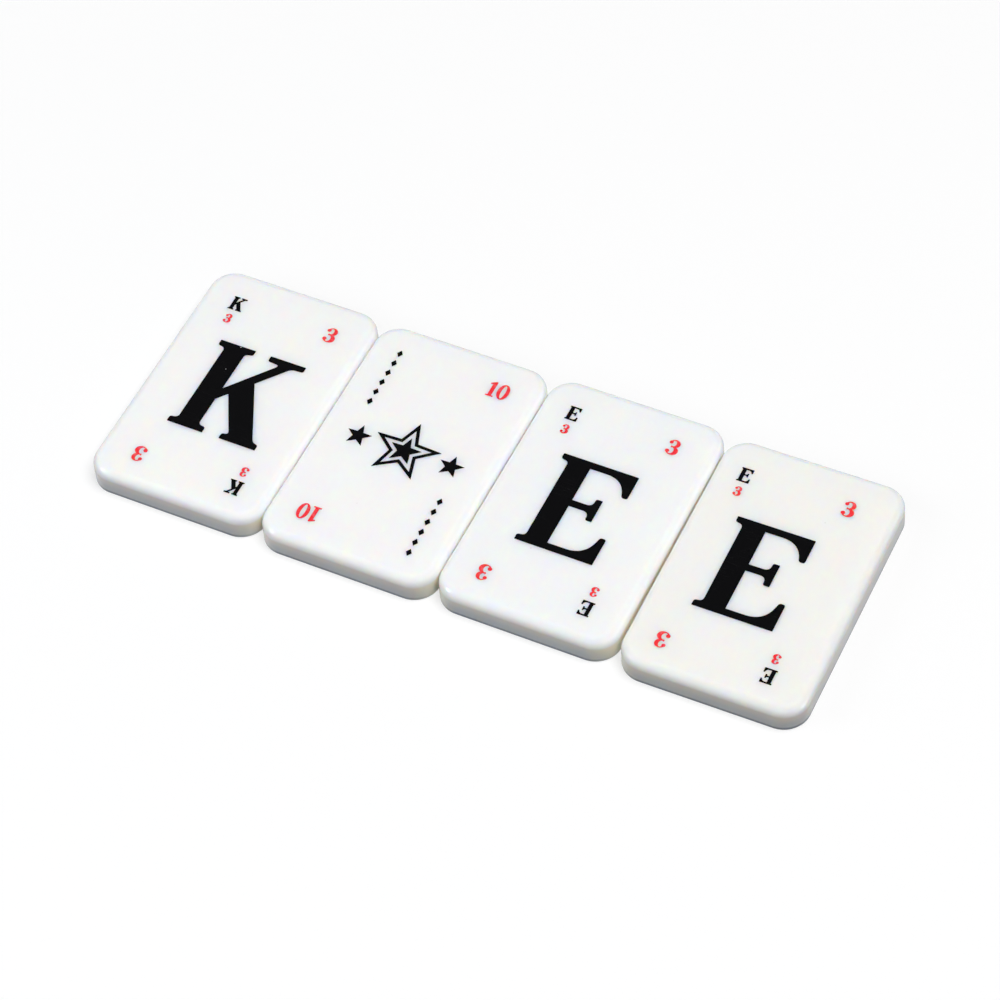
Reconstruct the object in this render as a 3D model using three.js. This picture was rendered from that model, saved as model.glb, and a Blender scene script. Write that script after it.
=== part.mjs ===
// Four loose letter tiles lying side by side in a row, printed faces up.
// Each is one solid plastic moulding: rounded corners in plan, walls that taper a little so
// that the tile leaves its mould, a broad roll into the face and a small roll into the base.
// Units are millimetres and +Z is up. X runs along the row and Y up the letters.

import * as THREE from 'three';

// One tile, as it comes out of the mould
const tile_width = 26.1;
const tile_length = 40;
const tile_thickness = 4.2;
const corner_radius = 3.7;
const face_roll_radius = 1.4;
const base_roll_radius = 0.35;
const wall_draft_degrees = 1;

// How the tiles were pushed together by hand, left to right. The seams are a hair's width.
const seam_gap = 0.1;
const seam_gap_shares = [0.8, 1, 1.2];
const row_slip = 0.2;
const row_slip_shares = [0, -1, 1, -0.5];
const tile_turn_degrees = [0, 0, 0, 0.6];

// How finely the rolls and corners are stepped
const corner_steps = 12;
const face_roll_steps = 8;
const base_roll_steps = 4;

// A roll can't be larger than the corner that it goes round, or than its share of the wall
const face_roll_wall_share = 0.7;
const base_roll_wall_share = 0.25;
const roll_corner_share = 0.9;
const wall_draft = THREE.MathUtils.degToRad(wall_draft_degrees);
const face_roll = Math.min(
  face_roll_radius, face_roll_wall_share * tile_thickness, roll_corner_share * corner_radius);
const base_roll = Math.min(base_roll_radius, base_roll_wall_share * tile_thickness);

// The edge as seen in a cut through the wall: pairs of how far the outline is drawn in from the
// tile's widest line, and height. It starts flat under the base, turns up round the base roll,
// climbs the tapered wall and turns over the face roll until it is level with the face.
function edge_profile() {
  const wall_foot = new THREE.Vector2(
    base_roll * (1 - Math.cos(wall_draft)), base_roll * (1 + Math.sin(wall_draft)));
  const wall_top_height = tile_thickness - face_roll * (1 - Math.sin(wall_draft));
  const wall_lean = (wall_top_height - wall_foot.y) * Math.tan(wall_draft);
  const face_roll_centre = new THREE.Vector2(
    wall_foot.x + wall_lean + face_roll * Math.cos(wall_draft), tile_thickness - face_roll);
  const base_roll_centre = new THREE.Vector2(base_roll, base_roll);
  return [
    ...roll_points(base_roll_centre, base_roll, -Math.PI / 2, wall_draft, base_roll_steps),
    ...roll_points(face_roll_centre, face_roll, wall_draft, Math.PI / 2, face_roll_steps),
  ];
}

// Points on an arc about a centre, from one angle to another. Angle zero faces out of the wall.
function roll_points(centre, radius, from_angle, to_angle, steps) {
  const points = [];
  for (let step = 0; step <= steps; step += 1) {
    const angle = THREE.MathUtils.lerp(from_angle, to_angle, step / steps);
    points.push(new THREE.Vector2(
      centre.x - radius * Math.cos(angle), centre.y + radius * Math.sin(angle)));
  }
  return points;
}

// The tile's outline in plan, drawn in all round by one inset: a quarter turn at each corner.
// The corners' centres stay where they are, so only their radius shrinks.
function plan_ring(inset, height) {
  const centre_x = tile_width / 2 - corner_radius;
  const centre_y = tile_length / 2 - corner_radius;
  const radius = corner_radius - inset;
  const ring = [];
  const corner_signs = [[1, 1], [-1, 1], [-1, -1], [1, -1]];
  corner_signs.forEach(([sign_x, sign_y], corner) => {
    for (let step = 0; step <= corner_steps; step += 1) {
      const angle = (corner + step / corner_steps) * Math.PI / 2;
      ring.push(
        sign_x * centre_x + radius * Math.cos(angle),
        sign_y * centre_y + radius * Math.sin(angle),
        height);
    }
  });
  return ring;
}

// The moulding: the plan outline carried up the edge profile, closed by the flat base below and
// the flat face above. Both are fans about a point on the tile's centre line.
function moulded_tile() {
  const profile = edge_profile();
  const ring_points = 4 * (corner_steps + 1);
  const positions = profile.flatMap((point) => plan_ring(point.x, point.y));
  const base_centre = profile.length * ring_points;
  const face_centre = base_centre + 1;
  positions.push(0, 0, 0);
  positions.push(0, 0, tile_thickness);

  const triangles = [];
  const face_ring = (profile.length - 1) * ring_points;
  for (let point = 0; point < ring_points; point += 1) {
    const next = (point + 1) % ring_points;
    for (let level = 0; level < profile.length - 1; level += 1) {
      const lower = level * ring_points;
      const upper = lower + ring_points;
      triangles.push(lower + point, lower + next, upper + next);
      triangles.push(lower + point, upper + next, upper + point);
    }
    triangles.push(base_centre, next, point);
    triangles.push(face_centre, face_ring + point, face_ring + next);
  }

  const geometry = new THREE.BufferGeometry();
  geometry.setAttribute('position', new THREE.Float32BufferAttribute(positions, 3));
  geometry.setIndex(triangles);
  geometry.computeVertexNormals();
  return geometry;
}

// How far a tile that lies turned by this angle reaches to either side of its centre
function side_reach(turn) {
  const across = (tile_width / 2 - corner_radius) * Math.cos(turn);
  const along = (tile_length / 2 - corner_radius) * Math.sin(Math.abs(turn));
  return across + along + corner_radius;
}

// Glossy white plastic. The tiles come from several mouldings, so their whites differ a little.
function gloss_plastic(colour) {
  return new THREE.MeshStandardMaterial({ color: colour, roughness: 0.22, metalness: 0 });
}
const soft_white = gloss_plastic('#f3f1f1');
const cool_white = gloss_plastic('#eff1f2');
const warm_white = gloss_plastic('#f0eee9');

const tiles = [
  ['letter_tile_1', soft_white],
  ['wild_tile', soft_white],
  ['letter_tile_2', cool_white],
  ['letter_tile_3', warm_white],
];

const row = new THREE.Group();
const tile_geometry = moulded_tile();
let right_side = 0;
tiles.forEach(([name, material], place) => {
  const turn = THREE.MathUtils.degToRad(tile_turn_degrees[place]);
  const gap = place === 0 ? 0 : seam_gap_shares[place - 1] * seam_gap;
  const tile = new THREE.Mesh(tile_geometry, material);
  tile.name = name;
  tile.rotation.z = turn;
  tile.position.x = right_side + gap + side_reach(turn);
  tile.position.y = row_slip_shares[place] * row_slip;
  right_side = tile.position.x + side_reach(turn);
  row.add(tile);
});

// The origin is the middle of the row, on the surface that the tiles lie on
row.updateMatrixWorld(true);
const row_middle = new THREE.Box3().setFromObject(row, true).getCenter(new THREE.Vector3());
row.position.set(-row_middle.x, -row_middle.y, 0);

export default row;
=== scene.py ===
# %% [markdown]
# Four thick plastic letter tiles lie side by side in a row, printed faces up. The construction comes
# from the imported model: it says where each tile lies and how large it is. This file gives the row
# its looks: a fine surface for each moulding, the print on the faces, the finishes, the light and
# the camera. Every length is in metres, because that is Blender's own unit.

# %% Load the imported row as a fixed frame
import math

import bpy
import numpy as np
from mathutils import Matrix, Vector
from mathutils.geometry import delaunay_2d_cdt


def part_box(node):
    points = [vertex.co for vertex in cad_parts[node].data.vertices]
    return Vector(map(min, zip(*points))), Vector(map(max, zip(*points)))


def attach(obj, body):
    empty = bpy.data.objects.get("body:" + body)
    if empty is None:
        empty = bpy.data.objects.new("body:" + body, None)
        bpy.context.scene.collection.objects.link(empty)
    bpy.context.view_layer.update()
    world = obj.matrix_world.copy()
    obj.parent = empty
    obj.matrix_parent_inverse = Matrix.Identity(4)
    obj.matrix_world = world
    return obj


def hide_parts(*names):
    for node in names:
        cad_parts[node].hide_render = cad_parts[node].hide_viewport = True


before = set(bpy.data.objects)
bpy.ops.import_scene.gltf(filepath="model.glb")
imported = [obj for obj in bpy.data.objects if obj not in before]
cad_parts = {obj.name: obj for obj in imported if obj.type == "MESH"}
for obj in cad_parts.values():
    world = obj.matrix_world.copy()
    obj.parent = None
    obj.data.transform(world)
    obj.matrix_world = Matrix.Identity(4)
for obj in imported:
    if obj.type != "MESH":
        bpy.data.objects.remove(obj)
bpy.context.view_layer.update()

# %% [markdown]
# The looks must sit exactly where the solids are, so nothing is placed by eye. A tile's middle is the
# middle of its box. One tile lies turned by a fraction of a degree, which its box can't show, so the
# turn is read from its points: they spread most along the tile's long axis, and the covariance of
# a cloud of points gives that direction.

# %% Read each tile's size, middle and turn
tile_names = ("letter_tile_1", "wild_tile", "letter_tile_2", "letter_tile_3")
decimals_that_tell_points_apart = 8


def points_of(node):
    """Every different corner point of a CAD node, one row each."""
    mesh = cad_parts[node].data
    points = np.empty(len(mesh.vertices) * 3)
    mesh.vertices.foreach_get("co", points)
    return np.unique(points.reshape(-1, 3).round(decimals_that_tell_points_apart), axis=0)


def lie_of(node):
    """A tile's middle in plan and its turn about Z.

    The long axis is the eigenvector of the points' covariance with the larger eigenvalue. The turn
    is the angle from +Y to that axis.
    """
    points = points_of(node)
    middle = (points.min(axis=0) + points.max(axis=0)) / 2
    spreads, axes = np.linalg.eigh(np.cov(points[:, :2].T))
    along = axes[:, np.argmax(spreads)]
    along = along * np.sign(along[1])
    return middle[:2], math.atan2(-along[0], along[1])


lies = {name: lie_of(name) for name in tile_names}
lowest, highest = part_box("letter_tile_1")
tile_width, tile_length, tile_thickness = highest - lowest
for name, (middle, turn) in lies.items():
    print(name, "middle", middle.round(5), "turn", round(math.degrees(turn), 2), "degrees")

# %% [markdown]
# The camera stands to the right of the row and in front of it, and looks down at about 52 degrees.
# The photograph was taken with a long lens from half a metre away, which keeps the row's lines nearly
# parallel. The camera is also rolled a few degrees, so the row runs down to the right.

# %% Camera
camera_azimuth = math.radians(29.93)
camera_elevation = math.radians(51.55)
camera_roll = math.radians(-5.36)
camera_distance = 0.4860
camera_aim = Vector((0.0006, -0.00013, 0.0))
sensor_width = 0.036
focal_length_in_image_widths = 3.6069
nearest_seen = 0.01
millimetres_in_a_metre = 1000.0


def camera_pose(azimuth, elevation, roll, distance, aim):
    """World matrix of a camera that looks at a point from the given angles.

    The axes are built from the angles: back points from the aim to the camera, right is level, and
    up is square to both. Rolling turns right and up about back.
    """
    back = Vector((
        math.sin(azimuth) * math.cos(elevation),
        -math.cos(azimuth) * math.cos(elevation),
        math.sin(elevation)))
    right = Vector((0, 0, 1)).cross(back).normalized()
    up = back.cross(right)
    rolled_right = math.cos(roll) * right + math.sin(roll) * up
    rolled_up = math.cos(roll) * up - math.sin(roll) * right
    pose = Matrix((rolled_right, rolled_up, back)).transposed().to_4x4()
    pose.translation = aim + distance * back
    return pose


camera_data = bpy.data.cameras.new("camera")
camera_data.sensor_fit = "HORIZONTAL"
camera_data.sensor_width = millimetres_in_a_metre * sensor_width
camera_data.lens = millimetres_in_a_metre * sensor_width * focal_length_in_image_widths
camera_data.clip_start = nearest_seen
camera = bpy.data.objects.new("camera", camera_data)
camera.matrix_world = camera_pose(
    camera_azimuth, camera_elevation, camera_roll, camera_distance, camera_aim)
bpy.context.scene.collection.objects.link(camera)
bpy.context.scene.camera = camera
bpy.context.scene.view_settings.view_transform = "Standard"
print("lens", round(camera_data.lens, 1), "mm")

# %% [markdown]
# Finishes are node trees, and most of them are sums and products of a few patterns. Wiring Math nodes
# one by one hides that, so a small class wraps an output socket and lets Python's own signs build the
# nodes: `0.1 + mask * 0.5` becomes two Math nodes. Every other node comes from one method that sets
# the node's settings first and its inputs afterwards.

# %% Write shader maths as Python expressions


class Wire:
    """An output socket of a node tree, on which sums can be written."""

    def __init__(self, nodes, socket):
        self.nodes = nodes
        self.socket = socket

    def math(self, operation, first, second):
        return self.nodes.node("ShaderNodeMath", {"operation": operation}, {0: first, 1: second})

    def __add__(self, other):
        return self.math("ADD", self, other)

    def __sub__(self, other):
        return self.math("SUBTRACT", self, other)

    def __mul__(self, other):
        return self.math("MULTIPLY", self, other)

    __radd__ = __add__
    __rmul__ = __mul__

    def step(self, start, end):
        """0 at start, 1 at end, and a smooth rise between them. It falls if start is larger."""
        settings = {"interpolation_type": "SMOOTHSTEP"}
        low, high, at_low, at_high = (start, end, 0, 1) if start < end else (end, start, 1, 0)
        return self.nodes.node(
            "ShaderNodeMapRange", settings,
            {"Value": self, "From Min": low, "From Max": high, "To Min": at_low, "To Max": at_high})


class Nodes:
    """A node tree that is written as expressions. node() makes any node of it."""

    def __init__(self, tree):
        self.tree = tree

    def feed(self, socket, value):
        """Links a wire to an input socket, or gives the socket a value of its own."""
        if isinstance(value, Wire):
            self.tree.links.new(value.socket, socket)
        else:
            socket.default_value = value

    def node(self, kind, settings=None, inputs=None, output=0):
        """Makes a node of a kind, and gives back one of its outputs by number or name."""
        made = self.tree.nodes.new(kind)
        for name, value in (settings or {}).items():
            setattr(made, name, value)
        for name, value in (inputs or {}).items():
            self.feed(made.inputs[name], value)
        return Wire(self, made.outputs[output])

    def mix(self, share, first, second):
        """The first colour where share is 0 and the second where it is 1."""
        inputs = {"Factor": share, 6: first, 7: second}
        return self.node("ShaderNodeMix", {"data_type": "RGBA"}, inputs, output=2)

    def shown_rays(self):
        """1 for the rays that show the surroundings: straight to the camera, mirrored or through."""
        straight = self.node("ShaderNodeLightPath", output="Is Camera Ray")
        mirrored = self.node("ShaderNodeLightPath", output="Is Glossy Ray")
        through = self.node("ShaderNodeLightPath", output="Is Transmission Ray")
        return (straight + mirrored + through).step(0, 1)


class Finish(Nodes):
    """One material. set() feeds the sockets of its Principled shader."""

    def __init__(self, name):
        self.material = bpy.data.materials.new(name)
        self.material.use_nodes = True
        super().__init__(self.material.node_tree)
        self.shader = self.tree.nodes["Principled BSDF"]

    def set(self, **values):
        for name, value in values.items():
            self.feed(self.shader.inputs[name.replace("_", " ")], value)


print("Shader classes ready")

# %% [markdown]
# The floor and the light come next, because a finish can't be judged without them. The floor is plain
# and pale, and it takes the row's shadow. The photograph is cut out on white, so the floor glows a
# little to the camera and in reflections: its lit part carries the shadow, and the glow lifts both to
# white. The light that it throws back on the tiles' walls is that of a dull, cool board, so the walls
# turn grey as they do in the photograph.

# %% Floor
floor_half_size = 1.5
floor_lit = (0.32, 0.32, 0.32, 1.0)
floor_glow = (0.65, 0.65, 0.65, 1.0)
floor_bounced = (0.10, 0.115, 0.14, 1.0)

floor_finish = Finish("pale board")
floor_finish.set(
    Base_Color=floor_finish.mix(floor_finish.shown_rays(), floor_bounced, floor_lit),
    Emission_Color=floor_finish.mix(floor_finish.shown_rays(), (0, 0, 0, 1), floor_glow),
    Emission_Strength=1.0, Roughness=0.9, Specular_IOR_Level=0.0)

floor_mesh = bpy.data.meshes.new("floor")
floor_corners = floor_half_size * np.array([[-1, -1, 0], [1, -1, 0], [1, 1, 0], [-1, 1, 0]])
floor_mesh.from_pydata(floor_corners.tolist(), [], [(0, 1, 2, 3)])
floor_mesh.materials.append(floor_finish.material)
floor = bpy.data.objects.new("floor", floor_mesh)
bpy.context.scene.collection.objects.link(floor)
print("Floor", 2 * floor_half_size, "m square")

# %% [markdown]
# The light is that of a small product table. A high panel, a little to the right, gives most of it. It
# keeps the faces and the rolls that start from them white, while the walls below fall into grey. A low
# panel at the front lifts the near walls. The panel at the left stands close, so its light fades along
# the row, and the near walls of the last tiles come out darker than those of the first. The panels
# give soft light and no reflections. Those come from two bright cards, whose mirror images fall on the
# near corners as small glints, because the eye reads a gloss from such glints. The card on the right
# stands just above the floor, because from higher up the faces would mirror it towards the left end.

# %% Lamps
white_light = (1.0, 1.0, 1.0)
cool_light = (0.93, 0.965, 1.0)
panels = (
    # name, level, colour, azimuth and elevation in degrees, distance and size in metres
    ("high_panel", 0.965, white_light, 84, 71, 1.3, 0.8),
    ("front_panel", 0.07, white_light, 10, 40, 1.3, 0.8),
    ("left_panel", 0.16, cool_light, -60, 30, 0.6, 0.4),
)
card_distance = 1.3
glint_cards = (
    # name, brightness as a multiple of white, azimuth and elevation in degrees, width and height
    ("left_card", 12.0, -53, 29, 0.42, 0.42),
    ("right_card", 20.0, 95, 6, 0.50, 0.24),
)


def direction_of(azimuth, elevation):
    """The direction of a lamp: azimuth runs from the front (-Y) to the right (+X)."""
    azimuth, elevation = math.radians(azimuth), math.radians(elevation)
    return Vector((
        math.sin(azimuth) * math.cos(elevation), -math.cos(azimuth) * math.cos(elevation),
        math.sin(elevation)))


def add_lamp(name, power, colour, position, width, height):
    """An area lamp at a position, upright and facing the origin."""
    data = bpy.data.lights.new(name, "AREA")
    data.shape = "RECTANGLE"
    data.size = width
    data.size_y = height
    data.color = colour
    data.energy = power
    lamp = bpy.data.objects.new(name, data)
    turn = position.to_track_quat("Z", "Y").to_matrix().to_4x4()
    lamp.matrix_world = Matrix.Translation(position) @ turn
    bpy.context.scene.collection.objects.link(lamp)
    return lamp


def add_panel(name, level, colour, azimuth, elevation, distance, size):
    """A square panel that gives a level white card the wanted share of white.

    A lamp of power P at distance d lights the card with P sin(elevation) / (pi d d), and the card
    sends 1 / pi of that to the camera.
    """
    towards = direction_of(azimuth, elevation)
    power = level * (math.pi * distance) ** 2 / towards.z
    panel = add_lamp(name, power, colour, distance * towards, size, size)
    panel.visible_glossy = False
    return panel


def add_glint_card(name, brightness, azimuth, elevation, width, height):
    """A bright card that only reflections see. Its power is brightness times pi times its area."""
    power = brightness * math.pi * width * height
    position = card_distance * direction_of(azimuth, elevation)
    card = add_lamp(name, power, cool_light, position, width, height)
    card.visible_diffuse = False
    return card


for values in panels:
    add_panel(*values)
for values in glint_cards:
    add_glint_card(*values)
print("Panels:", ", ".join(values[0] for values in panels))
print("Cards seen in reflections only:", ", ".join(values[0] for values in glint_cards))

# %% [markdown]
# The surroundings add almost no light. What the camera and the reflections see of them is white round
# the horizon, like the floor, and dim overhead, like the ceiling of a studio. The glossy faces mirror
# that dim part towards the camera, which is why the black print stays black.

# %% Surroundings
dome_level = (0.02, 0.02, 0.02, 1.0)
horizon_level = (1.0, 1.0, 1.0, 1.0)
ceiling_level = (0.10, 0.10, 0.10, 1.0)
horizon_top = math.sin(math.radians(25))
ceiling_start = math.sin(math.radians(40))

world = bpy.data.worlds.new("studio")
world.use_nodes = True
bpy.context.scene.world = world
surroundings = Nodes(world.node_tree)
towards_sky = surroundings.node("ShaderNodeTexCoord", output="Generated")
height = surroundings.node("ShaderNodeSeparateXYZ", None, {"Vector": towards_sky}, output="Z")
seen_sky = surroundings.mix(height.step(horizon_top, ceiling_start), horizon_level, ceiling_level)
sky = surroundings.mix(surroundings.shown_rays(), dome_level, seen_sky)
surroundings.feed(world.node_tree.nodes["Background"].inputs["Color"], sky)
print("Surroundings ready")

# %% [markdown]
# A tile is one solid moulding. Its surface is a function of two parameters: how far round the outline a
# point lies, and how far up the edge profile. The outline is carried by anchors, which run round the
# rectangle of the corners' centres, and by the outward direction at each of them. The outline drawn in
# by an inset is then the anchor plus the corner radius less the inset, along the outward direction.

# %% Outline of a tile in plan
corner_radius = 0.0037
corner_steps = 24
side_steps = 10


def outline_anchors():
    """Anchors and outward directions round the tile, anticlockwise from the right-hand side.

    At a corner the anchor stands still while the direction turns a quarter, and along a side the
    direction stands still while the anchor moves to the next corner's centre.
    """
    half = np.array([tile_width / 2 - corner_radius, tile_length / 2 - corner_radius])
    centres = half * np.array([[1, 1], [-1, 1], [-1, -1], [1, -1]])
    turning = np.linspace(0, 1, corner_steps + 1)
    moving = np.linspace(0, 1, side_steps + 1)[1:-1]
    anchors = []
    angles = []
    for corner in range(4):
        start, end = centres[corner], centres[(corner + 1) % 4]
        anchors += [np.repeat([start], len(turning), axis=0)]
        anchors += [start + moving[:, None] * (end - start)]
        angles += [(corner + turning) * math.pi / 2]
        angles += [np.full(len(moving), (corner + 1) * math.pi / 2)]
    angles = np.concatenate(angles)
    return np.concatenate(anchors), np.stack([np.cos(angles), np.sin(angles)], axis=1)


anchors, outward = outline_anchors()
print("Outline points:", len(anchors))

# %% [markdown]
# The edge profile is what a cut through the wall shows. It starts level under the base, rolls up round
# the small base edge, climbs the wall, which leans in by one degree so that the tile leaves its mould,
# and rolls over the broad face edge until it is level again.

# %% Edge profile of a tile
face_roll = 0.0014
base_roll = 0.00035
wall_draft = math.radians(1)
roll_steps = 22
wall_steps = 6
flat_rings = 14


def edge_profile():
    """Rows of inset and height up the wall, with a bounded turn between neighbours.

    A roll is an arc about its centre from one wall angle to another: inset is the centre less the
    radius times cos(angle), and height is the centre plus the radius times sin(angle).
    """
    foot_inset = base_roll * (1 - math.cos(wall_draft))
    foot_height = base_roll * (1 + math.sin(wall_draft))
    top_height = tile_thickness - face_roll * (1 - math.sin(wall_draft))
    top_inset = foot_inset + (top_height - foot_height) * math.tan(wall_draft)
    base_angles = np.linspace(-math.pi / 2, wall_draft, roll_steps // 2)
    face_angles = np.linspace(wall_draft, math.pi / 2, roll_steps)
    climb = np.linspace(0, 1, wall_steps + 2)[1:-1]
    inset = np.concatenate([
        base_roll - base_roll * np.cos(base_angles),
        foot_inset + climb * (top_inset - foot_inset),
        top_inset + face_roll * (math.cos(wall_draft) - np.cos(face_angles))])
    height = np.concatenate([
        base_roll + base_roll * np.sin(base_angles),
        foot_height + climb * (top_height - foot_height),
        tile_thickness - face_roll + face_roll * np.sin(face_angles)])
    return inset, height


profile_inset, profile_height = edge_profile()
print("Profile rows:", len(profile_inset), "inset at the face", round(profile_inset[-1], 5))

# %% [markdown]
# The flats of the base and of the face are closed by rings that shrink to the middle. Many small rings
# cost little, and they keep long thin triangles off the flats. Both poles are single points, so that
# the shell is closed.

# %% Surface of a moulding


def moulding_points():
    """All points of one tile about its own middle: rings up the profile, then the two poles.

    A ring is (anchor + (corner radius - inset) * outward) * scale, at one height. The scale is 1 up
    the wall, and it runs from near 0 to 1 under the base and from 1 to near 0 on the face.
    """
    shrink = np.linspace(0, 1, flat_rings + 1)[1:-1]
    full = np.ones(len(profile_inset))
    scale = np.concatenate([shrink, full, shrink[::-1]])
    inset = np.concatenate([
        np.full(len(shrink), profile_inset[0]), profile_inset,
        np.full(len(shrink), profile_inset[-1])])
    height = np.concatenate([
        np.full(len(shrink), profile_height[0]), profile_height,
        np.full(len(shrink), profile_height[-1])])
    plan = anchors[None] + (corner_radius - inset)[:, None, None] * outward[None]
    plan = plan * scale[:, None, None]
    rings = np.concatenate([plan, np.repeat(height[:, None], len(anchors), axis=1)[..., None]], axis=2)
    poles = np.array([[0, 0, profile_height[0]], [0, 0, profile_height[-1]]])
    return np.concatenate([rings.reshape(-1, 3), poles]), len(scale)


def moulding_faces(rows):
    """Quads between neighbouring rings, and triangles from the first and last ring to the poles."""
    columns = len(anchors)
    here = np.arange(columns)
    beside = (here + 1) % columns
    lower = (np.arange(rows - 1) * columns)[:, None]
    quads = np.stack(
        [lower + here, lower + beside, lower + columns + beside, lower + columns + here], axis=2)
    base_pole = rows * columns
    last_ring = (rows - 1) * columns
    base_fan = np.stack([np.full(columns, base_pole), beside, here], axis=1)
    face_fan = np.stack([np.full(columns, base_pole + 1), last_ring + here, last_ring + beside], axis=1)
    return quads.reshape(-1, 4).tolist() + base_fan.tolist() + face_fan.tolist()


def laid_in_place(points, name):
    """Points about a tile's own middle, turned and moved to where the named tile lies."""
    middle, turn = lies[name]
    turned = points.copy()
    turned[:, 0] = points[:, 0] * math.cos(turn) - points[:, 1] * math.sin(turn) + middle[0]
    turned[:, 1] = points[:, 0] * math.sin(turn) + points[:, 1] * math.cos(turn) + middle[1]
    return turned


def new_piece(name, points, faces, finish, smooth):
    """A mesh object that stands at the origin, so its place is in its points."""
    mesh = bpy.data.meshes.new(name)
    mesh.from_pydata(points.tolist(), [], faces)
    mesh.polygons.foreach_set("use_smooth", np.full(len(faces), smooth))
    mesh.materials.append(finish.material)
    mesh.update()
    piece = bpy.data.objects.new(name, mesh)
    bpy.context.scene.collection.objects.link(piece)
    return piece


def shelter_of(name, rows):
    """How far each point of a moulding faces a neighbour in the row: 0 is open and 1 is square to it.

    On the side of a neighbour it is the outward direction's share along the row, and it holds only
    up the walls and rolls, not on the flats.
    """
    place = tile_names.index(name)
    sides = outward[:, 0]
    right = np.maximum(sides, 0) * (place < len(tile_names) - 1)
    left = np.maximum(-sides, 0) * (place > 0)
    on_wall = np.zeros(rows)
    on_wall[flat_rings - 1:rows - flat_rings + 1] = 1
    return np.concatenate([np.outer(on_wall, right + left).ravel(), [0, 0]])


tile_points, tile_rows = moulding_points()
tile_faces = moulding_faces(tile_rows)
print("One moulding:", len(tile_points), "points,", len(tile_faces), "faces")

# %% [markdown]
# The plastic is a hard, glossy white. Up close its gloss isn't even: the mould leaves a faint ripple,
# handling leaves hairline scuffs, and a few specks of darker resin show in the white. The patterns are
# worked out in millimetres, because their sizes are easier to think about that way.

# %% Patterns in the plastic
scuff_strokes = (
    # turn in radians, squeeze that makes strokes of round blobs, patches of scuffs to a millimetre
    (0.5, (0.16, 5.0, 1.0), 0.21),
    (-0.9, (0.12, 6.5, 1.0), 0.24),
)
scuff_half_band = 0.012
scuff_patch_span = (0.56, 0.66)
speck_core_share = 0.6
speck_pick_step = 0.01


def millimetre_coordinates(finish):
    """Object coordinates in millimetres. A finished piece stands at the origin, so they stay put."""
    place = finish.node("ShaderNodeTexCoord", output="Object")
    return finish.node(
        "ShaderNodeVectorMath", {"operation": "SCALE"},
        {"Vector": place, "Scale": millimetres_in_a_metre})


def noise(finish, place, per_millimetre, detail=2.0):
    """Soft noise about 0.5, with the given number of blobs to a millimetre."""
    return finish.node(
        "ShaderNodeTexNoise", None, {"Vector": place, "Scale": per_millimetre, "Detail": detail})


def stretched(finish, place, turn, squeeze):
    """Coordinates turned and squeezed, so that round blobs become strokes."""
    return finish.node(
        "ShaderNodeMapping", {"vector_type": "POINT"},
        {"Vector": place, "Rotation": (0, 0, turn), "Scale": squeeze})


def scuffs(finish, place):
    """Hairline scuffs in two directions: 1 on a hairline, 0 beside it.

    Each is a noise squeezed thin across its stroke, and only its narrow middle band counts. A
    second, wide noise picks the patches of the tile that are scuffed.
    """
    strokes = []
    for turn, squeeze, patches_per_millimetre in scuff_strokes:
        off_middle = noise(finish, stretched(finish, place, turn, squeeze), 1.0, detail=1.0) - 0.5
        line = off_middle.math("ABSOLUTE", off_middle, 0).step(scuff_half_band, 0.0)
        patch = noise(finish, place, patches_per_millimetre, detail=0.0)
        strokes.append(line * patch.step(*scuff_patch_span))
    return strokes[0].math("MAXIMUM", strokes[0], strokes[1])


def specks(finish, place, spacing, size, share):
    """Round specks on a loose grid: 1 in a speck's core, falling to 0 at its rim.

    Only the given share of the grid's cells has one. The spacing and the size are in millimetres.
    """
    inputs = {"Vector": place, "Scale": 1 / spacing, "Randomness": 1.0}
    distance = finish.node("ShaderNodeTexVoronoi", {"voronoi_dimensions": "3D"}, inputs)
    colour = finish.node("ShaderNodeTexVoronoi", {"voronoi_dimensions": "3D"}, inputs, output=1)
    pick = finish.node("ShaderNodeSeparateColor", None, {"Color": colour})
    rim = size / spacing
    picked = pick.step(1 - share, 1 - share + speck_pick_step)
    return distance.step(rim, speck_core_share * rim) * picked


print("Patterns ready")

# %% [markdown]
# A tile's white carries painted light and shade. The roll into the face is painted a shade lighter than
# the face, as a painted highlight. The wall below is painted darker as shade, a little warmer at its top
# and darker and cooler towards its foot, and a dark painted shadow lies in the small roll at the foot.
# Where a wall faces a neighbour, its roll is painted lighter still, and the depth of the seam is painted
# lighter and a little yellow, as painted light that has gone through the plastic. So the white is
# multiplied by a share that depends on the height above the table in millimetres, and on how far the
# point faces a neighbour.

# %% Painted light and shade up the wall
face_share = (1, 1, 1, 1)
# Painted highlight: the rolls are painted lighter than the face
roll_painted_light_share = (1.03, 1.045, 1.07, 1)
# Painted shade: the wall is painted darker than the face, warmer at its top, darker and cooler towards
# its foot
wall_top_painted_shade_share = (0.925, 0.90, 0.855, 1)
wall_foot_painted_shade_share = (0.79, 0.80, 0.81, 1)
# Painted shadow: a dark line in the small roll at the foot
foot_painted_shadow_share = (0.18, 0.22, 0.28, 1)
# Painted light in the seams: rolls that face a neighbour are painted lighter, and the seam's depth
# lighter and yellow
seam_roll_painted_light_share = (1.10, 1.10, 1.09, 1)
seam_wall_painted_light_share = (1.05, 0.98, 0.80, 1)

# Heights in millimetres, from where one share begins to give way to where the next one rules
foot_painted_shadow_to_wall = (0.25, 0.85)
wall_foot_to_top = (1.1, 2.5)
wall_to_roll = (2.5, 3.0)
seam_wall_to_roll = (2.4, 3.0)
roll_to_face = (3.65, 4.05)


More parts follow.
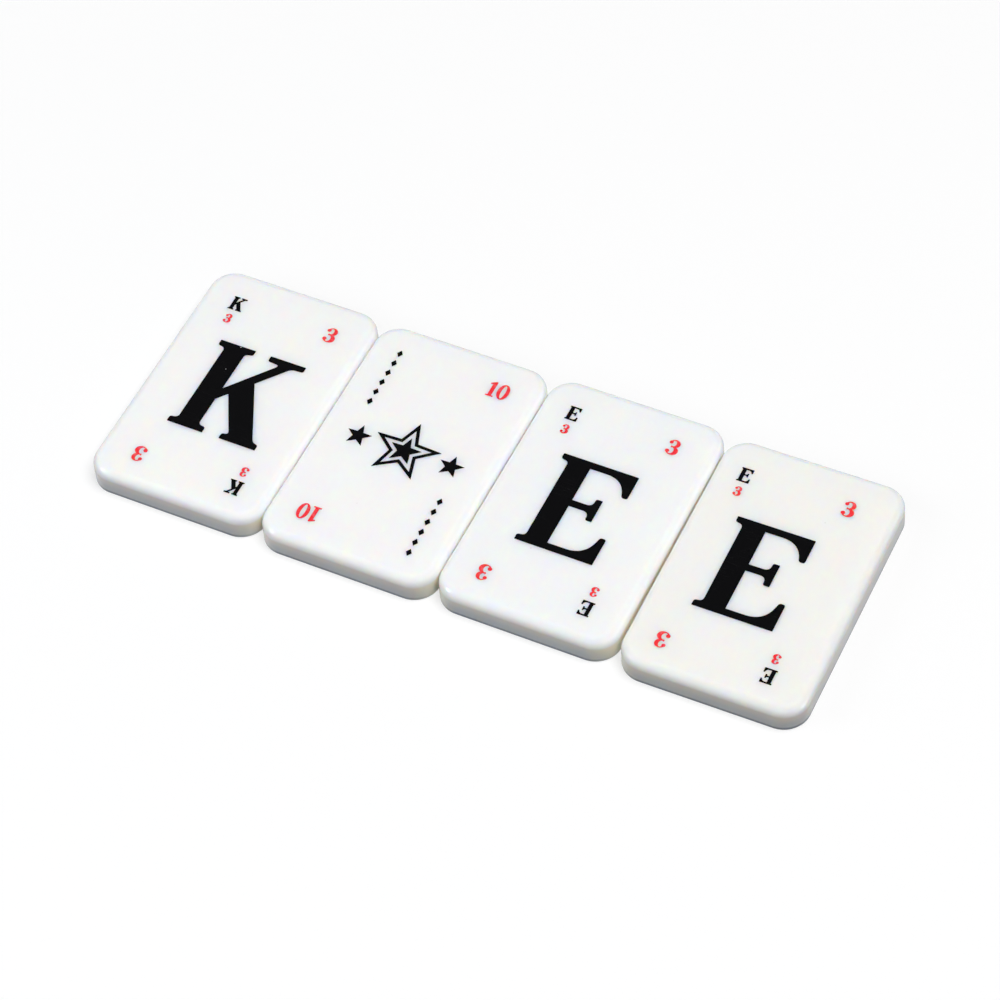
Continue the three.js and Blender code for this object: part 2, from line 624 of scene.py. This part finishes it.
def painted_light_and_shade_share(finish, place):
    """The painted light and shade that the white is multiplied by, blended from height to height."""
    height = finish.node("ShaderNodeSeparateXYZ", None, {"Vector": place}, output="Z")
    wall = finish.mix(height.step(*wall_foot_to_top), wall_foot_painted_shade_share, wall_top_painted_shade_share)
    wall = finish.mix(height.step(*foot_painted_shadow_to_wall), foot_painted_shadow_share, wall)
    side = finish.mix(height.step(*wall_to_roll), wall, roll_painted_light_share)
    seam_side = finish.mix(height.step(*seam_wall_to_roll), seam_wall_painted_light_share, seam_roll_painted_light_share)
    sheltered = finish.node("ShaderNodeAttribute", {"attribute_name": "sheltered"}, output="Fac")
    # Painted light in the seams, where the point faces a neighbour
    side = finish.mix(sheltered, side, seam_side)
    return finish.mix(height.step(*roll_to_face), side, face_share)


print("Shares of white, foot to face:", wall_foot_painted_shade_share, wall_top_painted_shade_share, roll_painted_light_share, face_share)

# %% [markdown]
# White plastic isn't a painted surface. Light enters it, spreads about two millimetres and comes out
# again, which softens the shading of the rolls and lightens the seams. The Principled shader's
# subsurface does that, with red light going furthest. The gloss on top is uneven in two ways: a haze
# and the scuffs change its roughness, and the mould's ripple bends it.

# %% Finish of the plastic
scatter_distance = 0.0022
scatter_of_red_green_blue = (1.0, 0.75, 0.5)
drift_span = (0.35, 0.7)
resin_speck = (0.42, 0.38, 0.32, 1)
resin_speck_strength = 0.28
grime = (0.55, 0.55, 0.56, 1)
grime_in_scuffs = 0.03
polished_roughness = 0.09
haze_roughness = 0.06
scuff_roughness = 0.14
ripple_depth = 0.0002
ripple_strength = 0.12
scuff_share_of_ripple = 0.06


def plastic(name, colour, second_colour):
    """Glossy moulded plastic: an even white with a slow drift to a second white, specks and scuffs."""
    finish = Finish(name)
    place = millimetre_coordinates(finish)
    drift = noise(finish, place, per_millimetre=0.05, detail=1.0).step(*drift_span)
    white = finish.mix(drift, colour, second_colour)
    fleck = specks(finish, place, spacing=5.0, size=0.14, share=0.35)
    white = finish.mix(fleck * resin_speck_strength, white, resin_speck)
    hairline = scuffs(finish, place)
    white = finish.mix(hairline * grime_in_scuffs, white, grime)
    # The white is multiplied by the painted light and shade up the wall
    white = finish.node(
        "ShaderNodeMix", {"data_type": "RGBA", "blend_type": "MULTIPLY"},
        {"Factor": 1.0, 6: white, 7: painted_light_and_shade_share(finish, place)}, output=2)
    haze = noise(finish, place, per_millimetre=0.35, detail=4.0)
    roughness = polished_roughness + haze_roughness * haze + scuff_roughness * hairline
    ripple = noise(finish, place, per_millimetre=0.22, detail=1.0)
    bumped = finish.node(
        "ShaderNodeBump", None,
        {"Strength": ripple_strength, "Distance": ripple_depth,
         "Height": ripple - scuff_share_of_ripple * hairline})
    finish.set(
        Base_Color=white, Roughness=roughness, Normal=bumped, IOR=1.5,
        Subsurface_Weight=1.0, Subsurface_Scale=scatter_distance,
        Subsurface_Radius=scatter_of_red_green_blue)
    return finish


soft_white = plastic("soft white plastic", (0.905, 0.90, 0.905, 1), (0.91, 0.905, 0.895, 1))
cool_white = plastic("cool white plastic", (0.885, 0.895, 0.90, 1), (0.89, 0.895, 0.90, 1))
warm_white = plastic("warm white plastic", (0.885, 0.88, 0.855, 1), (0.88, 0.87, 0.845, 1))
print("Finishes:", soft_white.material.name, cool_white.material.name, warm_white.material.name)

# %% [markdown]
# Each moulding is laid where its solid lies and stands in for it: the solid stays for collisions, and
# the moulding is what shows. Both take the same finish. Tiles one and two come from one batch of
# plastic, the other two from batches that are a little cooler and a little warmer. How far a point
# faces a neighbour is kept with the mesh, in an attribute that the finish reads.

# %% Lay the four mouldings in place
tile_finish = {
    "letter_tile_1": (soft_white, "soft_white_plastic"),
    "wild_tile": (soft_white, "soft_white_plastic"),
    "letter_tile_2": (cool_white, "cool_white_plastic"),
    "letter_tile_3": (warm_white, "warm_white_plastic"),
}
for name in tile_names:
    finish, slot = tile_finish[name]
    points = laid_in_place(tile_points, name)
    moulding = new_piece(name + "_moulding", points, tile_faces, finish, smooth=True)
    # The attribute steers the painted light in the seams
    sheltered = moulding.data.attributes.new("sheltered", "FLOAT", "POINT")
    sheltered.data.foreach_set("value", shelter_of(name, tile_rows))
    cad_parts[name].data.materials.clear()
    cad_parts[name].data.materials.append(finish.material)
    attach(moulding, "root")
    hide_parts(name)
    print(moulding.name, "stands for", name)

# %% [markdown]
# The print is a thin film of ink. A character is drawn as a sign painter would: one simple shape is
# painted over another, some in ink and some in bare ground, and the last one wins. A constrained
# triangulation keeps every outline's edges, so each triangle lies wholly inside or outside each shape,
# and the ones that end up as ink are kept. Shapes have few points: a corner may be cut, and the cut is
# rounded by a curve.

# %% Outlines of shapes
curve_steps = 9
ellipse_steps = 48
smallest_step = 1e-9


def soft_corners(corners):
    """A closed outline whose corners are rounded. Rows are x, y and how far the corner is cut.

    Between the two ends A and C of a cut, with the corner at B, the curve is
    (1 - t)(1 - t) A + 2 t (1 - t) B + t t C.
    """
    rows = np.array(corners, dtype=float)
    points, cuts = rows[:, :2], rows[:, 2:]
    before = np.roll(points, 1, axis=0) - points
    after = np.roll(points, -1, axis=0) - points
    start = points + cuts * before / np.linalg.norm(before, axis=1, keepdims=True)
    end = points + cuts * after / np.linalg.norm(after, axis=1, keepdims=True)
    t = np.linspace(0, 1, curve_steps)[None, :, None]
    curve = (1 - t) ** 2 * start[:, None] + 2 * t * (1 - t) * points[:, None] + t ** 2 * end[:, None]
    outline = curve.reshape(-1, 2)
    apart = np.linalg.norm(outline - np.roll(outline, 1, axis=0), axis=1) > smallest_step
    return outline[apart]


def ellipse(centre, radii):
    """A closed ellipse: centre + radii * (cos, sin)."""
    angle = np.arange(ellipse_steps) * 2 * math.pi / ellipse_steps
    return np.array(centre) + np.array(radii) * np.stack([np.cos(angle), np.sin(angle)], axis=1)


def star(points, outer, inner):
    """A star about the origin: its radius jumps between the outer and the inner one."""
    angle = math.pi / 2 + np.arange(2 * points) * math.pi / points
    radius = np.where(np.arange(2 * points) % 2 == 0, outer, inner)
    return radius[:, None] * np.stack([np.cos(angle), np.sin(angle)], axis=1)


INK, BARE = True, False
print("Outline helpers ready")

# %% [markdown]
# The capitals are bold slab serifs. Their sizes are those of the large capital: the thick stem, the
# slab's overhang and its thickness at the tip and at the root, and the bracket that eases the slab into
# the stem. The small capitals at the corners are the same shapes at a seventh of the size.

# %% Capitals
cap_height = 0.01575
half_stem = 0.0016
overhang = 0.00115
slab_tip = 0.00095
slab_root = 0.0011
bracket = 0.0006
tip_cut = 0.00035
square_cut = 0.0001
arm_thickness = 0.0011
beak_width = 0.00085
beak_sweep = 0.0026


def slab_stem(middle, left_overhang, right_overhang):
    """A thick upright with a slab across each end. An overhang of zero leaves that side plain."""
    def side(reach, sign):
        if reach == 0:
            return [(middle + sign * half_stem, 0, 0), (middle + sign * half_stem, cap_height, 0)]
        tip, root = middle + sign * (half_stem + reach), middle + sign * half_stem
        return [
            (tip, 0, square_cut), (tip, slab_tip, tip_cut), (root, slab_root, bracket),
            (root, cap_height - slab_root, bracket), (tip, cap_height - slab_tip, tip_cut),
            (tip, cap_height, square_cut)]
    return soft_corners(side(right_overhang, 1) + side(left_overhang, -1)[::-1])


def beaked_arm(left, right, beak, flip):
    """A thin arm along the baseline that rises to a beak at its right end, or the same at the top."""
    corners = np.array([
        (left, 0, 0), (right, 0, square_cut), (right, beak, tip_cut),
        (right - beak_width, beak, tip_cut), (right - 2 * beak_width, arm_thickness, beak_sweep),
        (left, arm_thickness, 0)])
    if flip:
        corners[:, 1] = cap_height - corners[:, 1]
        corners = corners[::-1]
    return soft_corners(corners)


def capital_with_three_arms():
    """A stem with slabs on its left, a beaked arm at each end and a shorter arm between them."""
    stem_middle = -0.0035
    lower_end, lower_beak = 0.0051, 0.00455
    upper_end, upper_beak = lower_end - 0.0003, 0.0040
    middle_height = 0.53 * cap_height
    middle_end = 0.0020
    middle_slab = 0.00095
    middle_rise = 0.0019
    middle_sweep = 0.0009
    half_arm = arm_thickness / 2
    inner = stem_middle + half_stem / 2
    middle_arm = soft_corners([
        (inner, middle_height - half_arm, 0),
        (middle_end - middle_slab, middle_height - half_arm, middle_sweep),
        (middle_end - middle_slab, middle_height - middle_rise, tip_cut),
        (middle_end, middle_height - middle_rise, square_cut),
        (middle_end, middle_height + middle_rise, square_cut),
        (middle_end - middle_slab, middle_height + middle_rise, tip_cut),
        (middle_end - middle_slab, middle_height + half_arm, middle_sweep),
        (inner, middle_height + half_arm, 0)])
    return [
        (INK, slab_stem(stem_middle, overhang, 0)),
        (INK, beaked_arm(inner, lower_end, lower_beak, flip=False)),
        (INK, beaked_arm(inner, upper_end, upper_beak, flip=True)),
        (INK, middle_arm)]


def capital_with_two_legs():
    """A stem with slabs, a thin arm up to a slab at the top right, and a thick leg down to another."""
    stem_middle = -0.0038
    arm_slab_left, arm_slab_right = 0.0013, 0.0068
    leg_slab_left, leg_slab_right = 0.0015, 0.0071
    arm = soft_corners([
        (-0.0030, 0.0050, 0), (0.0050, cap_height - slab_root, bracket),
        (arm_slab_right, cap_height - slab_tip, tip_cut), (arm_slab_right, cap_height, square_cut),
        (arm_slab_left, cap_height, square_cut), (arm_slab_left, cap_height - slab_tip, tip_cut),
        (0.0032, cap_height - slab_root, bracket), (-0.0030, 0.0070, 0)])
    leg = soft_corners([
        (leg_slab_left, 0, square_cut), (leg_slab_right, 0, square_cut),
        (leg_slab_right, slab_tip, tip_cut), (0.0062, slab_root, bracket), (0.0014, 0.0107, 0),
        (-0.0011, 0.0077, 0), (0.0025, slab_root, bracket), (leg_slab_left, slab_tip, tip_cut)])
    return [(INK, slab_stem(stem_middle, overhang, overhang)), (INK, arm), (INK, leg)]


capitals = {"E": capital_with_three_arms(), "K": capital_with_two_legs()}
print("Capitals:", ", ".join(capitals))

# %% [markdown]
# The numerals are drawn one unit high. Two overlapping ellipses in ink with two narrower ones bare
# between them give a bowl its thick side and its thin top, and a round ball ends each open stroke.

# %% Numerals


def numeral_three():
    """Two bowls that open to the left, a bar between them, and a ball at each open end."""
    return [
        (INK, ellipse((0.33, 0.275), (0.33, 0.275))),
        (INK, ellipse((0.33, 0.745), (0.28, 0.255))),
        (BARE, ellipse((0.27, 0.275), (0.16, 0.215))),
        (BARE, ellipse((0.28, 0.745), (0.13, 0.195))),
        (BARE, soft_corners([(-0.05, 0.22, 0), (0.20, 0.22, 0), (0.20, 0.80, 0), (-0.05, 0.80, 0)])),
        (INK, soft_corners([(0.18, 0.50, 0), (0.42, 0.49, 0), (0.42, 0.565, 0), (0.18, 0.555, 0)])),
        (INK, ellipse((0.115, 0.795), (0.10, 0.095))),
        (INK, ellipse((0.11, 0.20), (0.11, 0.105)))]


def numeral_one():
    """An upright on a foot, with a flag at the top left."""
    return [
        (INK, soft_corners([(0.13, 0, 0), (0.33, 0, 0), (0.33, 1, 0), (0.26, 1, 0), (0.13, 0.93, 0)])),
        (INK, soft_corners([(0.02, 0, 0), (0.44, 0, 0), (0.44, 0.07, 0.02), (0.02, 0.07, 0.02)])),
        (INK, soft_corners([(0.0, 0.79, 0.02), (0.16, 0.83, 0), (0.26, 1.0, 0), (0.0, 0.86, 0.02)]))]


def numeral_nought():
    """A ring that is thick at the sides and thin at the top and bottom."""
    return [(INK, ellipse((0.32, 0.5), (0.32, 0.51))), (BARE, ellipse((0.32, 0.5), (0.125, 0.44)))]


numerals = {
    # shapes, and the width that they take
    "3": (numeral_three(), 0.66),
    "1": (numeral_one(), 0.45),
    "0": (numeral_nought(), 0.64),
}
print("Numerals:", ", ".join(numerals))

# %% [markdown]
# The wild tile stands for any letter. It has a plain star in the middle, outlined in ink round a
# smaller solid one, a little star on either side, and a column of small diamonds along each side, where
# the letter tiles have their small capitals. A line along a star's edges takes more than its own
# thickness off the reach of a point, because the edges meet there at a sharp angle.

# %% Marks of the wild tile
star_points = 5
star_radius = 0.0051
star_waist_share = 0.42
star_line = 0.00062
reach_of_a_line = 2.2 * star_line
small_star_radius = 0.0019
small_star_offset = 0.0070
diamond_height = 0.00125
diamond_width = 0.00085
column_top = 0.0152
column_offset = 0.0083
column_pitch = 0.00184
column_count = 6


def moved(painting, place, scale=1.0, turn=0.0):
    """A painting scaled, turned and then moved."""
    spin = np.array([[math.cos(turn), math.sin(turn)], [-math.sin(turn), math.cos(turn)]])
    return [(paint, scale * outline @ spin + np.array(place)) for paint, outline in painting]


def star_of(radius):
    """A star whose inner corners keep to the same share of its radius."""
    return star(star_points, radius, star_waist_share * radius)


big_star = [
    (INK, star_of(star_radius)),
    (BARE, star_of(star_radius - reach_of_a_line)),
    (INK, star_of(star_radius - 2 * reach_of_a_line))]
small_star = [(INK, star_of(small_star_radius))]
half_diamond = np.array([diamond_width / 2, diamond_height / 2])
diamond = [(INK, half_diamond * np.array([[1, 0], [0, 1], [-1, 0], [0, -1]]))]
print("Wild marks ready")

# %% [markdown]
# On a letter tile the large capital stands in the middle, and the corners repeat: a small capital over
# a small value at the top left, and a larger value at the top right. The same pair stands upside down
# at the other two corners, so the tile reads from both sides of a table. Small print is drawn a little
# bolder than large print, because thin strokes would fade at that size. The press put the print a
# little off the middle of each tile, by another amount each time.

# %% Lay out the print of a tile
small_cap_scale = 0.147
small_cap_spread = 0.00004
small_value_spread = 0.000025
corner_value_spread = 0.000015
sharpest_corner = 0.4
corner_value_height = 0.00262
small_value_height = 0.00158
small_cap_place = (-0.0076, 0.01458)
small_value_place = (-0.0076, 0.01172)
corner_value_place = (0.00717, 0.0145)
digit_gap = 0.07

# How far a large capital is moved along the row, so that it looks centred
shift_of_capital = {"E": 0.00035, "K": 0.0}


def bolder(painting, spread):
    """The painting with thicker strokes: ink outlines grow by the spread and bare ones shrink by it.

    With n and m as the outward normals of the two edges at a point, the point moves by
    spread * (n + m) / (1 + n . m), so both edges move out by the spread. The divisor has a lower
    limit, so that a sharp corner doesn't shoot out.
    """
    thicker = []
    for paint, outline in painting:
        after = np.roll(outline, -1, axis=0)
        edge = after - outline
        normal = np.stack([edge[:, 1], -edge[:, 0]], axis=1) / np.linalg.norm(edge, axis=1, keepdims=True)
        turns_left = np.sign(np.sum(outline[:, 0] * after[:, 1] - outline[:, 1] * after[:, 0]))
        before = np.roll(normal, 1, axis=0)
        divisor = np.maximum(1 + np.sum(normal * before, axis=1, keepdims=True), sharpest_corner)
        growth = spread if paint else -spread
        thicker.append((paint, outline + turns_left * growth * (normal + before) / divisor))
    return thicker


def value_painting(text, height):
    """The numerals of a value side by side, about their common middle, scaled to a height.

    Numerals are drawn one unit high, so they go down by a half to be centred.
    """
    advance = 0.0
    painting = []
    for digit in text:
        shapes, width = numerals[digit]
        painting += moved(shapes, (advance, -0.5))
        advance += width + digit_gap
    half_width = (advance - digit_gap) / 2
    return moved(moved(painting, (-half_width, 0)), (0, 0), height)


def both_ways(painting):
    """The painting and a copy of it turned half round the tile's middle."""
    return painting + moved(painting, (0, 0), turn=math.pi)


def centred(letter):
    """A capital about the middle of its height."""
    return moved(capitals[letter], (0, -cap_height / 2))


def letter_print(letter, value):
    """The black painting and the red painting of a letter tile."""
    small_cap = bolder(moved(centred(letter), small_cap_place, small_cap_scale), small_cap_spread)
    small_value = moved(value_painting(value, small_value_height), small_value_place)
    corner_value = moved(value_painting(value, corner_value_height), corner_value_place)
    black = moved(centred(letter), (shift_of_capital[letter], 0)) + both_ways(small_cap)
    red = bolder(small_value, small_value_spread) + bolder(corner_value, corner_value_spread)
    return black, both_ways(red)


def wild_print(value):
    """The black painting and the red painting of the wild tile."""
    column = []
    for place in range(column_count):
        column += moved(diamond, (-column_offset, column_top - place * column_pitch))
    small_stars = moved(small_star, (-small_star_offset, 0)) + moved(small_star, (small_star_offset, 0))
    corner_value = moved(value_painting(value, corner_value_height), corner_value_place)
    red = bolder(corner_value, corner_value_spread)
    return big_star + small_stars + both_ways(column), both_ways(red)


prints = {
    # the black and the red painting, and how far the press put them off the middle
    "letter_tile_1": (letter_print("K", "3"), (0.00026, -0.00054)),
    "wild_tile": (wild_print("10"), (-0.00002, -0.0003)),
    "letter_tile_2": (letter_print("E", "3"), (-0.00025, -0.00045)),
    "letter_tile_3": (letter_print("E", "3"), (-0.00085, -0.00078)),
}
print("Prints laid out for", len(prints), "tiles")

# %% [markdown]
# The inks are nearly smooth, and duller than the plastic. The black has pinholes where dust lay on the
# face when it was printed, and a few hairline scratches that catch the light. The red is thinner, so
# a trace of the white shows through in an uneven way.

# %% Finish of the inks
thin_ink_span = (0.45, 0.8)
white_through_ink = (0.9, 0.9, 0.9, 1)
white_in_pinhole = (0.8, 0.8, 0.8, 1)
pinhole_strength = 0.75
scratched_ink = (0.7, 0.7, 0.72, 1)
scratch_strength = 0.008
ink_roughness = 0.2
ink_roughness_of_body = 0.08
ink_bump_depth = 0.00005
ink_bump_strength = 0.1
ink_specular = 0.15


def ink(name, colour, hole_share, unevenness):
    """Printing ink: an even colour, pinholes to the white below, faint scratches and an uneven body."""
    finish = Finish(name)
    place = millimetre_coordinates(finish)
    body = noise(finish, place, per_millimetre=1.6, detail=3.0)
    faded = finish.mix(body.step(*thin_ink_span) * unevenness, colour, white_through_ink)
    holes = specks(finish, place, spacing=1.7, size=0.1, share=hole_share)
    opened = finish.mix(holes * pinhole_strength, faded, white_in_pinhole)
    hairline = scuffs(finish, place)
    scratched = finish.mix(hairline * scratch_strength, opened, scratched_ink)
    bumped = finish.node(
        "ShaderNodeBump", None,
        {"Strength": ink_bump_strength, "Distance": ink_bump_depth, "Height": body})
    finish.set(
        Base_Color=scratched, Roughness=ink_roughness + ink_roughness_of_body * body,
        Normal=bumped, Specular_IOR_Level=ink_specular)
    return finish


black_ink = ink("black ink", (0.003, 0.003, 0.0035, 1), hole_share=0.12, unevenness=0.0)
red_ink = ink("red ink", (0.86, 0.035, 0.045, 1), hole_share=0.04, unevenness=0.12)
print("Inks:", black_ink.material.name, "and", red_ink.material.name)

# %% [markdown]
# The painting becomes a flat mesh just above the face, and a Solidify modifier gives it the thickness
# of a film that starts just under the face, so no two surfaces lie in one plane.

# %% Print the tiles
film_height = 0.00002
film_thickness = 0.00004
merge_distance = 1e-8
triangles_inside_outlines = 1


def painted_mesh(painting):
    """Points and triangles of a painting's ink.

    All outlines go into one constrained triangulation. It lists, for each triangle, the outlines
    that hold it, and the triangle is ink if the last of them was painted in ink.
    """
    outlines = [outline for _, outline in painting]
    starts = np.cumsum([0] + [len(outline) for outline in outlines])
    corners = [Vector(point) for point in np.concatenate(outlines)]
    loops = [list(range(start, end)) for start, end in zip(starts[:-1], starts[1:])]
    points, _, triangles, _, _, holders = delaunay_2d_cdt(
        corners, [], loops, triangles_inside_outlines, merge_distance)
    inked = [
        tuple(triangle) for triangle, held_by in zip(triangles, holders)
        if held_by and painting[max(held_by)][0]]
    used = np.unique(np.array(inked))
    renumbered = np.searchsorted(used, np.array(inked))
    return np.array([tuple(point) for point in points])[used], renumbered.tolist()


def print_film(name, tile, painting, shift, finish):
    """One ink film on a tile, as a closed thin sheet."""
    flat, triangles = painted_mesh(moved(painting, shift))
    height = np.full((len(flat), 1), tile_thickness + film_height)
    points = laid_in_place(np.concatenate([flat, height], axis=1), tile)
    film = new_piece(name, points, triangles, finish, smooth=False)
    body = film.modifiers.new("film", "SOLIDIFY")
    body.thickness = film_thickness
    body.offset = -1
    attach(film, "root")
    return film


for name, ((black, red), shift) in prints.items():
    black_film = print_film(name + "_black_print", name, black, shift, black_ink)
    red_film = print_film(name + "_red_print", name, red, shift, red_ink)
    print(name, len(black_film.data.polygons), "black and", len(red_film.data.polygons), "red triangles")
